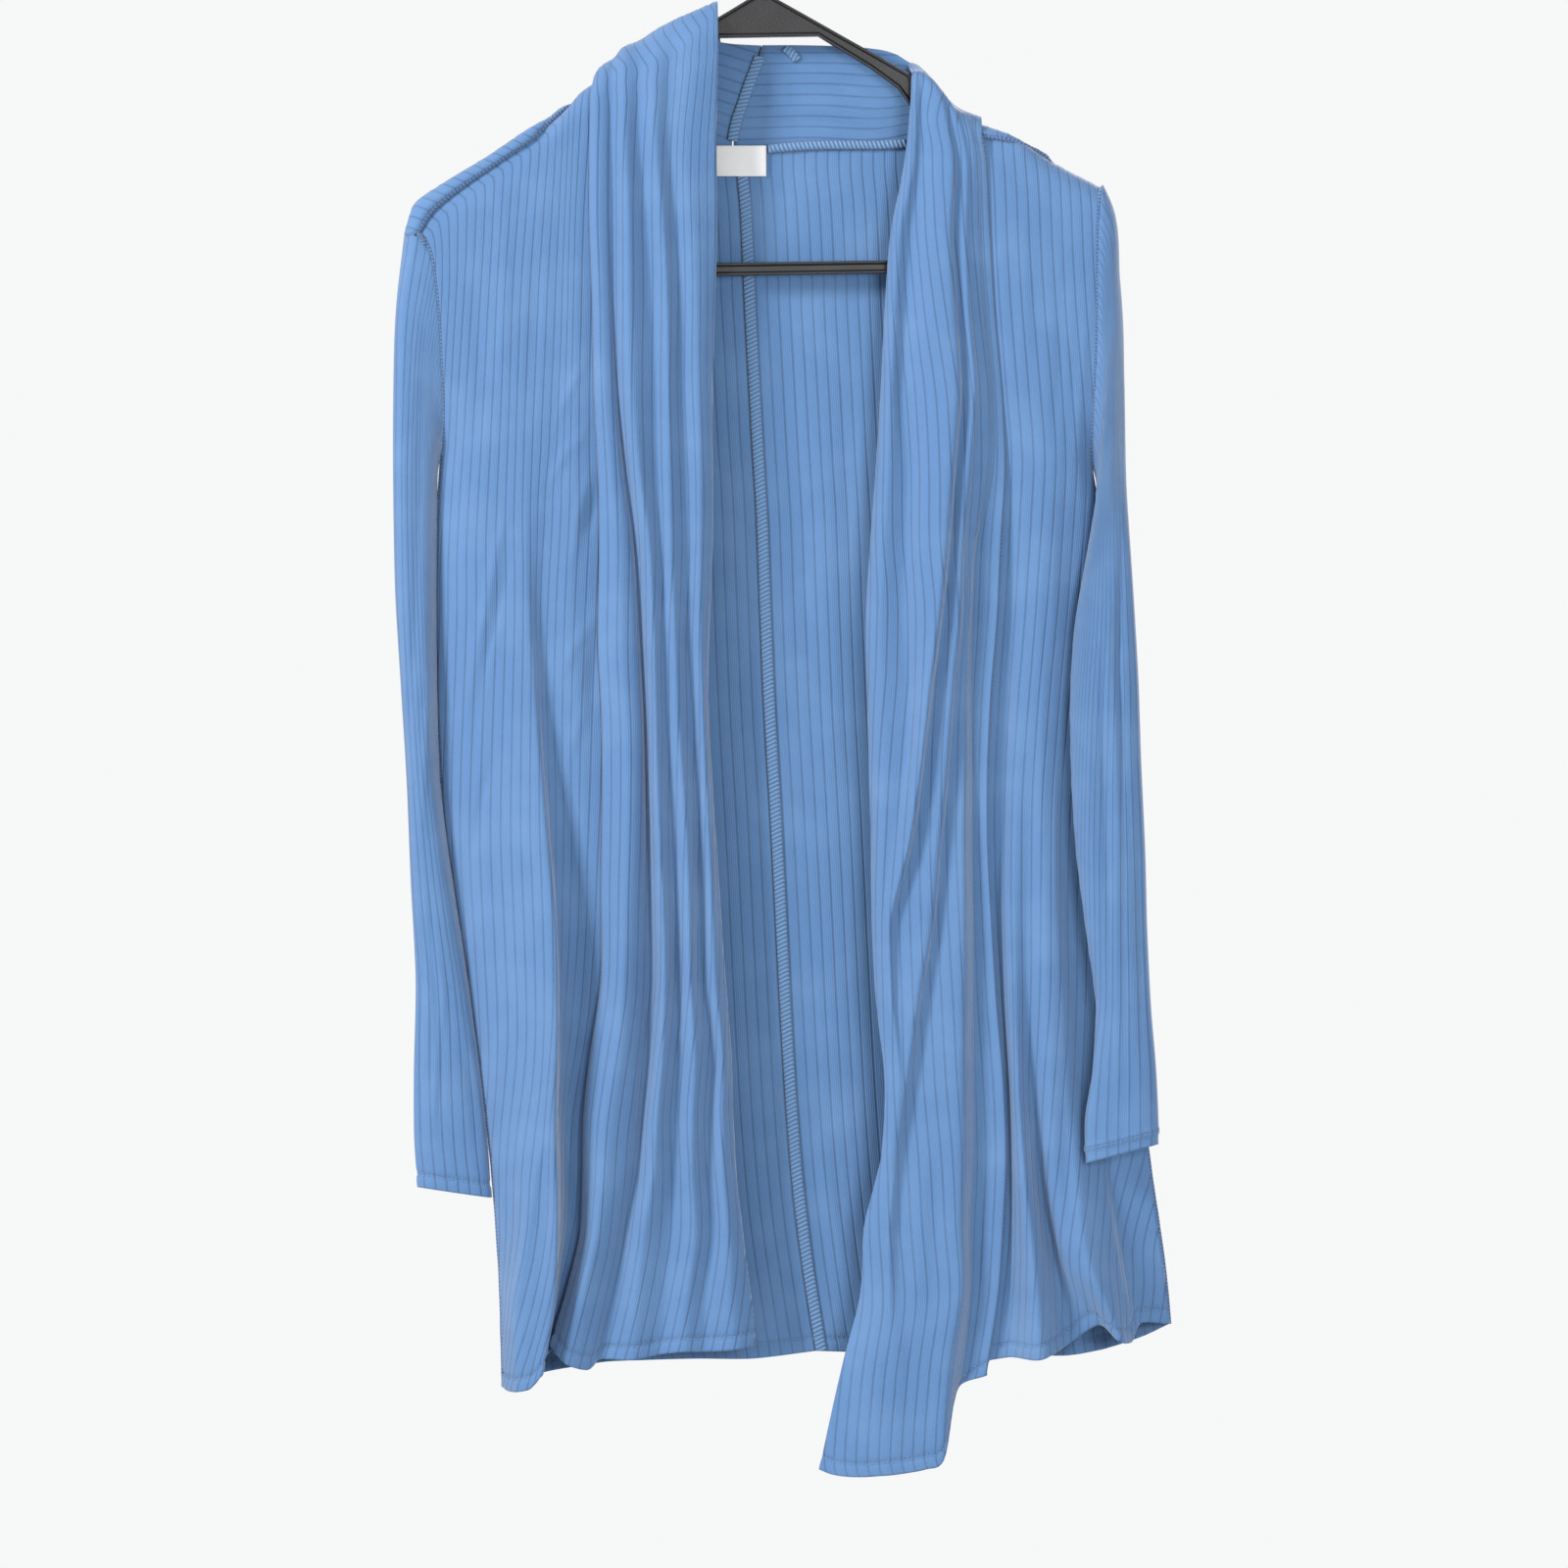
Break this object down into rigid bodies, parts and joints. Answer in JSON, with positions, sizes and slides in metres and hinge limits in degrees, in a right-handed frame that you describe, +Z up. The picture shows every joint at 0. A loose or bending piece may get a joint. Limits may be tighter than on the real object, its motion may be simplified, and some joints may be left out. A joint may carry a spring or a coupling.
{
  "type": "open-front cardigan on a hanger",
  "caption": "Open-front draped rib-knit cardigan with long sleeves and a cascading front edge, hanging on a moulded clothes hanger with a round hook.",
  "frame": {"origin": "the point inside the top of the hanger's hook that rests on the rail", "axes": "+Z up, -Y out of the cardigan's front, +X to the viewer's right, which is the wearer's left"},
  "size_m": [0.4757, 0.0618, 0.9932],
  "materials": {
    "cloth": "fine drop-needle rib knit, matt with a slight sheen",
    "label": "smooth woven tape",
    "hanger_plastic": "moulded, half gloss"
  },
  "bodies": {
    "root": {"front_right": "cloth", "front_left": "cloth", "back_right": "cloth", "back_left": "cloth", "drape_right": "cloth", "drape_left": "cloth", "sleeve_right": "cloth", "sleeve_left": "cloth", "neck_label": "label", "hanger": "hanger_plastic"}
  },
  "joints": []
}
